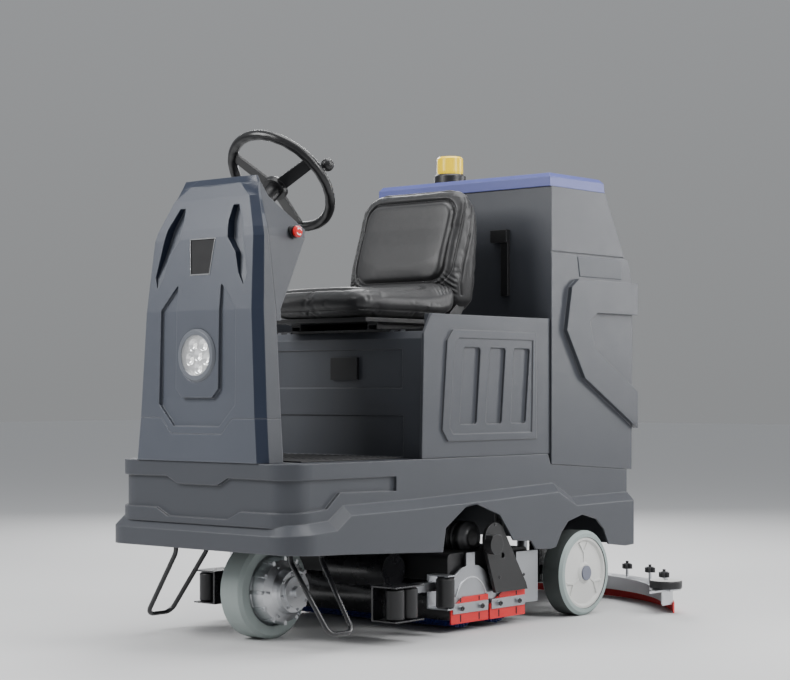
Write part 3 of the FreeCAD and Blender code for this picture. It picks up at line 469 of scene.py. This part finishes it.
def ring_levels(table, count):
    """The table's rows at even steps of its first column, closer together at both ends."""
    keys = [row[0] for row in table]
    for i in range(count):
        t = 0.5 - 0.5 * math.cos(math.pi * i / (count - 1))
        at = keys[0] + (keys[-1] - keys[0]) * t
        yield at, [float(np.interp(at, keys, [row[k] for row in table])) for k in (1, 2, 3)]


def around(half, low, high, steps, n_wide, n_deep):
    """Rounded-box section: pairs of across and through values."""
    mid, deep = (low + high) / 2, (high - low) / 2
    for i in range(steps):
        a = 2 * math.pi * i / steps
        yield half * power(math.cos(a), n_wide), mid + deep * power(math.sin(a), n_deep)


def seat_cushion():
    """Cushion with a sewn panel, a fold at the rear corners and a side seam."""
    rings = [[(x, y, z) for x, z in around(half, low, high, 72, 5, 3)]
             for y, (low, high, half) in ring_levels(CUSHION, 50)]
    obj = lofted("seat_cushion_cover", rings)
    puff(obj)
    for v in obj.data.vertices:
        x, y, z = v.co.x * 1000, v.co.y * 1000 + MID_Y, v.co.z * 1000
        if z > 968:
            d = box_distance(x, y - 650, 164, 168, 55)
            v.co.z -= 0.008 * bump_at(d, 0, 5.5) - 0.003 / (1 + math.exp(d / 6))
            fold = bump_at(abs(x), 192, 20) * bump_at(y, 838, 26)
            v.co.z += 0.0045 * fold * math.sin(0.42 * y + 0.2 * abs(x))
        side = bump_at(z, 946, 3) * 0.0035
        if abs(x) > 188:
            v.co.x -= math.copysign(side, x)
        if y < 478:
            v.co.y += side
    finish_soft(obj, "seat_cushion")


def seat_back():
    """Back with a sewn panel, a rolled border and creases along its sides."""
    rings = [[(x, y, z) for x, y in around(half, front, back, 72, 6, 3.6)]
             for z, (front, back, half) in ring_levels(BACK, 66)]
    obj = lofted("seat_back_cover", rings)
    puff(obj)
    heights = [row[0] for row in BACK]
    fronts = [row[1] for row in BACK]
    for v in obj.data.vertices:
        x, y, z = v.co.x * 1000, v.co.y * 1000 + MID_Y, v.co.z * 1000
        front = float(np.interp(z, heights, fronts))
        if y < front + 34:
            d = box_distance(x, z - 1172, 172, 122, 44)
            v.co.y += 0.013 * bump_at(d, 4, 6) - 0.006 / (1 + math.exp(d / 5))
            ridge = box_distance(x, z - 1180, 203, 148, 60)
            v.co.y += 0.005 * bump_at(ridge, 0, 3.2) - 0.0025 * bump_at(ridge, 7, 4)
            fold = bump_at(abs(x), 190, 24) * bump_at(z, 1030, 30)
            v.co.y -= 0.005 * fold * math.sin(0.38 * z + 0.3 * abs(x))
        if abs(x) > 196 and z > 1000:
            crease = bump_at(y, front + 46, 3.4) * 0.004
            v.co.x -= math.copysign(crease, x)
    finish_soft(obj, "seat_backrest")


def finish_soft(obj, cad):
    """Paint and register a cover that stands for a CAD cushion."""
    obj.data.update()
    for face in obj.data.polygons:
        face.use_smooth = True
    paint(obj, "leather")
    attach(obj, "seat")
    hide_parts(cad)


def seat_shell():
    """The CAD shell with its upper corners drawn in, so that they stay inside the cover."""
    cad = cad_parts["seat_shell"]
    mesh = cad.data.copy()
    for v in mesh.vertices:
        if v.co.z > 1.29:
            v.co.x *= 0.72
    obj = bpy.data.objects.new("seat_shell_tapered", mesh)
    obj.matrix_world = cad.matrix_world
    bpy.context.scene.collection.objects.link(obj)
    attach(obj, "seat")
    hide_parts("seat_shell")


seat_cushion()
seat_back()
seat_shell()


# --- brushes ---------------------------------------------------------------

def brush(label, y):
    """Cylindrical brush: core, journals and rows of tufts in a chevron."""
    middle = Vector((0, y, BRUSH_Z))
    along = Vector((1, 0, 0))
    verts, faces = lathe([(10, -352), (10, -322), (44, -320), (44, 320), (10, 322), (10, 352)],
                         middle, along, 40)
    for row in range(36):
        for col in range(64):
            x = -315 + 630 * (col + 0.5) / 64
            a = 2 * math.pi * (row / 36) + abs(x) * 0.004 + random.uniform(-0.02, 0.02)
            out = Vector((0, math.cos(a), math.sin(a)))
            cross = out.cross(along)
            lean = along * random.uniform(-2, 2) + cross * random.uniform(-2, 2)
            root = middle + along * x
            base = root + out * 43
            tip = root + out * (79.4 - random.uniform(0, 1.5)) + lean
            k = len(verts)
            for centre, size in ((base, 3.0), (tip, 4.4)):
                for sx, sy in ((1, 1), (-1, 1), (-1, -1), (1, -1)):
                    verts.append(centre + along * size * sx + cross * size * sy * 0.8)
            faces += [(k, k + 1, k + 5, k + 4), (k + 1, k + 2, k + 6, k + 5),
                      (k + 2, k + 3, k + 7, k + 6), (k + 3, k, k + 4, k + 7),
                      (k + 4, k + 5, k + 6, k + 7)]
    obj = piece(label + "_bristles", to_metres(verts), faces, "bristle", label, smooth=False)
    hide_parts(label)


for label, y in BRUSH_YS.items():
    brush(label, y)


# --- lamp, badges and controls ---------------------------------------------

def lamp():
    """Bright reflector with six cups and a domed LED in each."""
    centres = [(0, 0)]
    for i in range(5):
        a = math.radians(126 + 72 * i)
        centres.append((35 * math.cos(a), 35 * math.sin(a)))
    verts = []
    rings, steps = 40, 96
    for j in range(rings + 1):
        r = 56.0 * j / rings
        for i in range(steps):
            a = 2 * math.pi * i / steps
            x, z = r * math.cos(a), r * math.sin(a)
            near = min(math.hypot(x - cx, z - cz) for cx, cz in centres)
            deep = 9 * max(0.0, 1 - (near / 15.5) ** 2) ** 0.7
            verts.append(Vector((x, 6.5 + deep, LAMP_Z + z)))
    faces = tube_faces(rings + 1, steps)
    obj = piece("lamp_reflector", to_metres(verts), faces, "chrome", "machine")
    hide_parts("headlight_cups")
    dome = [(5.5, 0), (5.2, 2), (4, 4.2), (2, 5.4), (0.1, 5.8)]
    domes = [(dome, (cx, 15, LAMP_Z + cz), (0, -1, 0)) for cx, cz in centres]
    turned_piece("lamp_leds", domes, "led", "machine", 20)


lamp()


def frame_strip(name, outer, inner, y_of, look, body, deep=2.0):
    """Flat frame between two outlines of (x, z), standing on a sloped face."""
    verts, faces = [], []
    n = len(outer)
    for ring in (outer, inner):
        for lift in (0, deep):
            verts += [Vector((x, y_of(z) - lift, z)) for x, z in ring]
    for i in range(n):
        k = (i + 1) % n
        faces += [(n + i, n + k, 3 * n + k, 3 * n + i), (i, k, n + k, n + i),
                  (2 * n + i, 3 * n + i, 3 * n + k, 2 * n + k)]
    return piece(name, to_metres(verts), faces, look, body, smooth=False)


def face_y(z):
    """The sloped nose's y at a height."""
    return float(np.interp(z, [931, 1132, 1245], [4, 24, 56]))


frame_strip("badge_rim", [(-51, 1132), (-38.5, 1030), (38.5, 1030), (51, 1132)],
            [(-48, 1129.5), (-36, 1033), (36, 1033), (48, 1129.5)],
            lambda z: face_y(z) + 0.3, "chrome", "machine")


def plate_strip(name, sign, look, grow, deep):
    """Blank slanted-end plate standing on the tank's side."""
    corners = [(1318 - grow, 1132 + grow), (1330 - grow, 1074 - grow), (1562 + grow, 1074 - grow),
               (1562 + grow, 1132 + grow)]
    low, high = 355.8 * sign, (356 + deep) * sign
    verts = [Vector((x, y, z)) for x in (low, high) for y, z in corners]
    faces = [(0, 1, 2, 3), (7, 6, 5, 4)]
    faces += [(i, (i + 1) % 4, (i + 1) % 4 + 4, i + 4) for i in range(4)]
    return piece(name, to_metres(verts), faces, look, "machine", smooth=False)


for side, sign in (("left", 1), ("right", -1)):
    plate_strip("tank_plate_rim_" + side, sign, "navy", 2.5, 0.8)
    plate_strip("tank_plate_" + side, sign, "trim", 0, 1.8)


def mat_studs():
    """Low round studs over the floor mat, clear of the steering head and pedals."""
    studs = []
    for row in range(11):
        for col in range(18):
            x, y = -255 + 30 * col, 290 + 23 * row
            if y > 300 or abs(x) > 90:
                studs.append(([(8, 0), (7, 1.6), (4, 2.6), (0.1, 2.9)], (x, y, 517), (0, 0, 1)))
    turned_piece("mat_studs", studs, "rubber", "machine", 12)


mat_studs()


def stop_marks():
    """Two curved arrows on the stop button."""
    verts, faces = [], []
    for start in (20, 200):
        base = len(verts)
        for i in range(11):
            a = math.radians(start + 12 * i)
            wide = 1.5 if i < 8 else 3.2 * (10.2 - i) / 2.2
            for r in (9 - wide, 9 + wide):
                verts.append(Vector((240.2, 160 + r * math.cos(a), 1147 + r * math.sin(a))))
        for i in range(10):
            k = base + 2 * i
            faces.append((k, k + 1, k + 3, k + 2))
    piece("stop_arrows", to_metres(verts), faces, "mark", "stop_button", smooth=False)


stop_marks()


# --- screws and small hardware ---------------------------------------------

def hardware():
    """Screw heads on the deck's sides and on the drive motor."""
    heads = []
    for sign in (1, -1):
        for y in (718, 814, 902, 997):
            heads.append(bolt((sign * 366.8, y, 71), (sign, 0, 0), 8, 4.5))
        for y, z in ((890, 150), (1010, 150), (868, 310)):
            if sign == 1:
                heads.append(bolt((372.8, y, z), (1, 0, 0), 5, 2.4))
    turned_piece("deck_screws", heads, "black_steel", "deck", 18, smooth=False)
    ring = []
    hub_y, hub_z = DRIVE_WHEEL
    for count, first, reach, x, r in ((8, 12, 52, 122, 4.5), (6, 0, 80, 96.5, 4)):
        for i in range(count):
            a = math.radians(360 / count * i + first)
            at = (x, hub_y + reach * math.cos(a), hub_z + reach * math.sin(a))
            ring.append(bolt(at, (1, 0, 0), r, 4))
    turned_piece("motor_screws", ring, "steel", "drive_wheel", 18, smooth=False)


def brush_motors():
    """Finned motor behind each side of the deck, ahead of the belt drive."""
    parts = []
    for sign, inner in ((1, 110), (-1, 165)):
        profile = [(20, 0), (46, 0), (50, 4)]
        for i in range(7):
            h = 24 + 18 * i
            profile += [(50, h), (47, h + 2), (47, h + 6), (50, h + 8)]
        profile += [(50, 165), (40, 168), (40, 176), (20, 176)]
        parts.append((profile, (sign * inner, *BELT_DRIVE), (sign, 0, 0)))
    turned_piece("brush_motors", parts, "black", "deck", 40)


def deck_cover():
    """Black cover over the brush housing, rounded along its long edges; as a dark sheet closing
    the gap under the base it is partly painted shade.
    """
    line = []
    for y, z, start in ((1062, 214, 0), (706, 214, 90)):
        for i in range(7):
            a = math.radians(start + 15 * i)
            line.append((y + 16 * math.cos(a), z + 16 * math.sin(a)))
    line = [(1078, 150)] + line + [(690, 150)]
    n = len(line)
    verts = [Vector((x, y, z)) for x in (-334, 334) for y, z in line]
    faces = [(i, (i + 1) % n, (i + 1) % n + n, i + n) for i in range(n)]
    faces += [tuple(reversed(range(n))), tuple(range(n, 2 * n))]
    piece("deck_cover", to_metres(verts), faces, "black", "deck", smooth=False)


def end_plate_rims():
    """Raised arc round the front brush's end on each side."""
    verts, faces = [], []
    count = 36
    for sign in (1, -1):
        base = len(verts)
        for i in range(count + 1):
            a = math.radians(16 + 148 * i / count)
            for r, x in ((72, 352), (72, 354.5), (76, 354.5), (76, 352)):
                verts.append(Vector((sign * x, BRUSH_YS["brush_front"] + r * math.cos(a),
                                     BRUSH_Z + r * math.sin(a))))
        for i in range(count):
            for k in range(4):
                j = base + 4 * i
                faces.append((j + k, j + (k + 1) % 4, j + 4 + (k + 1) % 4, j + 4 + k))
        faces += [tuple(base + k for k in range(4)), tuple(base + 4 * count + k for k in range(4))]
    piece("end_plate_rims", to_metres(verts), faces, "alu", "deck", smooth=False)


def skirt_slots():
    """Adjusting slots above and below the clamp strips, as flat near-black patches: painted shade
    where the open slots would be.
    """
    verts, faces = [], []
    for sign in (1, -1):
        for y in (722, 810, 906, 993):
            for low, high in ((33, 49), (91, 98)):
                base = len(verts)
                for i in range(16):
                    a = 2 * math.pi * i / 16
                    z = (high if math.sin(a) > 0 else low) + 3.2 * math.sin(a)
                    verts.append(Vector((sign * 357.15, y + 3.2 * math.cos(a), z)))
                faces.append(tuple(range(base, base + 16)))
    piece("skirt_slots", to_metres(verts), faces, "plate", "deck", smooth=False)


def rim_grip():
    """Moulded grip round the steering rim, with shallow finger waves underneath."""
    axis = Vector((0, 0.743145, 0.669131))
    side = Vector((1, 0, 0))
    up = axis.cross(side)
    centre = Vector(RIM_CENTRE)
    around_rim, around_tube = 144, 20
    verts, faces = [], []
    for i in range(around_rim):
        a = 2 * math.pi * i / around_rim
        out = side * math.cos(a) + up * math.sin(a)
        for k in range(around_tube):
            b = 2 * math.pi * k / around_tube
            wave = 0.5 * math.cos(24 * a) * max(0.0, -math.sin(b))
            r = 14.4 + wave
            verts.append(centre + out * (RIM_RADIUS + r * math.cos(b)) + axis * r * math.sin(b))
    for i in range(around_rim):
        j = (i + 1) % around_rim
        for k in range(around_tube):
            m = (k + 1) % around_tube
            faces.append((i * around_tube + k, j * around_tube + k,
                          j * around_tube + m, i * around_tube + m))
    piece("rim_grip", to_metres(verts), faces, "grip", "steering_wheel")


def panel_details():
    """Display, key switch and buttons on the operator's two panels."""
    slope = Vector((0, 74, -63.9)).normalized()
    out = Vector((0, 63.9, 74)).normalized()
    start = Vector((0, 124.3, 1239.4))

    def on_panel(x, down, lift=0.0):
        return Vector((x, 0, 0)) + start + slope * down + out * lift

    x0, x1, d0, d1 = 52, 128, 16, 58
    verts = []
    for lift, inset in ((0, 0), (2.4, 0), (2.4, 3), (1.4, 4)):
        for x, d in ((x0 + inset, d0 + inset), (x1 - inset, d0 + inset),
                     (x1 - inset, d1 - inset), (x0 + inset, d1 - inset)):
            verts.append(on_panel(x, d, lift))
    faces = tube_faces(4, 4) + [(12, 13, 14, 15)]
    piece("display", to_metres(verts), faces, "glass", "machine", smooth=False)
    dome = [(7, 0), (7, 3), (6, 4.4), (3, 5), (0.1, 5.1)]
    greys = [(dome, on_panel(x, 76), out) for x in (60, 80, 100, 120)]
    greys += [(dome, on_panel(x, down), out) for x in (-124, -104) for down in (28, 48, 68)]
    turned_piece("panel_buttons", greys, "bezel", "machine", 24)
    turned_piece("start_button", [(dome, on_panel(-60, 72), out)], "green", "machine", 24)
    key = [(13, 0), (13, 4), (11, 6), (9, 6), (8.6, 3), (0.1, 3)]
    turned_piece("key_switch", [(key, on_panel(-66, 34), out)], "steel", "machine", 32)


brush_motors()
deck_cover()
end_plate_rims()
skirt_slots()
rim_grip()
panel_details()
hardware()


# --- floor, lights, camera -------------------------------------------------

def stage():
    """Pale floor and a sky that brightens upwards."""
    bpy.ops.mesh.primitive_plane_add(size=60, location=(0, 0, -0.0005))
    floor = bpy.context.object
    floor.name = "floor"
    m = bpy.data.materials.new("pale_floor")
    m.use_nodes = True
    bsdf = m.node_tree.nodes["Principled BSDF"]
    bsdf.inputs["Base Color"].default_value = (0.62, 0.62, 0.62, 1)
    bsdf.inputs["Roughness"].default_value = 0.75
    floor.data.materials.append(m)
    world = bpy.data.worlds.new("world")
    bpy.context.scene.world = world
    world.use_nodes = True
    tree = world.node_tree
    place = tree.nodes.new("ShaderNodeTexCoord")
    axes = tree.nodes.new("ShaderNodeSeparateXYZ")
    tone = tree.nodes.new("ShaderNodeValToRGB")
    tone.color_ramp.elements[0].color = (0.46, 0.47, 0.48, 1)
    tone.color_ramp.elements[1].color = (0.86, 0.89, 0.93, 1)
    tree.links.new(place.outputs["Generated"], axes.inputs["Vector"])
    tree.links.new(axes.outputs["Z"], tone.inputs["Fac"])
    tree.links.new(tone.outputs["Color"], tree.nodes["Background"].inputs["Color"])
    tree.nodes["Background"].inputs["Strength"].default_value = 0.6


def light(name, at, aim, size, watts):
    """Soft area light at a point, aimed at another."""
    data = bpy.data.lights.new(name, "AREA")
    data.shape = "RECTANGLE"
    data.size, data.size_y = size
    data.energy = watts
    obj = bpy.data.objects.new(name, data)
    obj.location = at
    obj.rotation_euler = (Vector(aim) - Vector(at)).to_track_quat("-Z", "Y").to_euler()
    bpy.context.scene.collection.objects.link(obj)


def camera():
    """Low three-quarter view from the front left."""
    data = bpy.data.cameras.new("camera")
    data.lens = 85.43
    data.sensor_width = 36
    data.shift_y = 0.0632
    cam = bpy.data.objects.new("camera", data)
    cam.location = (3.795, -4.495, 0.7115)
    cam.rotation_euler = (math.radians(90), 0, math.radians(40.66))
    bpy.context.scene.collection.objects.link(cam)
    bpy.context.scene.camera = cam


stage()
light("key", (-1.3, -3.4, 2.9), (0, -0.5, 0.8), (1.6, 2.2), 150)
light("side", (3.0, 0.4, 2.5), (0.2, 0.1, 0.8), (1.2, 2.4), 95)
light("rim", (2.2, 3.6, 1.9), (0.3, 0.6, 0.9), (1.0, 2.4), 70)
light("back", (-2.8, 3.0, 2.6), (0, 0.3, 0.9), (2.0, 2.0), 120)
light("top", (0.3, 0.4, 3.8), (0, 0, 0.8), (2.4, 2.4), 90)
camera()

bpy.context.view_layer.update()
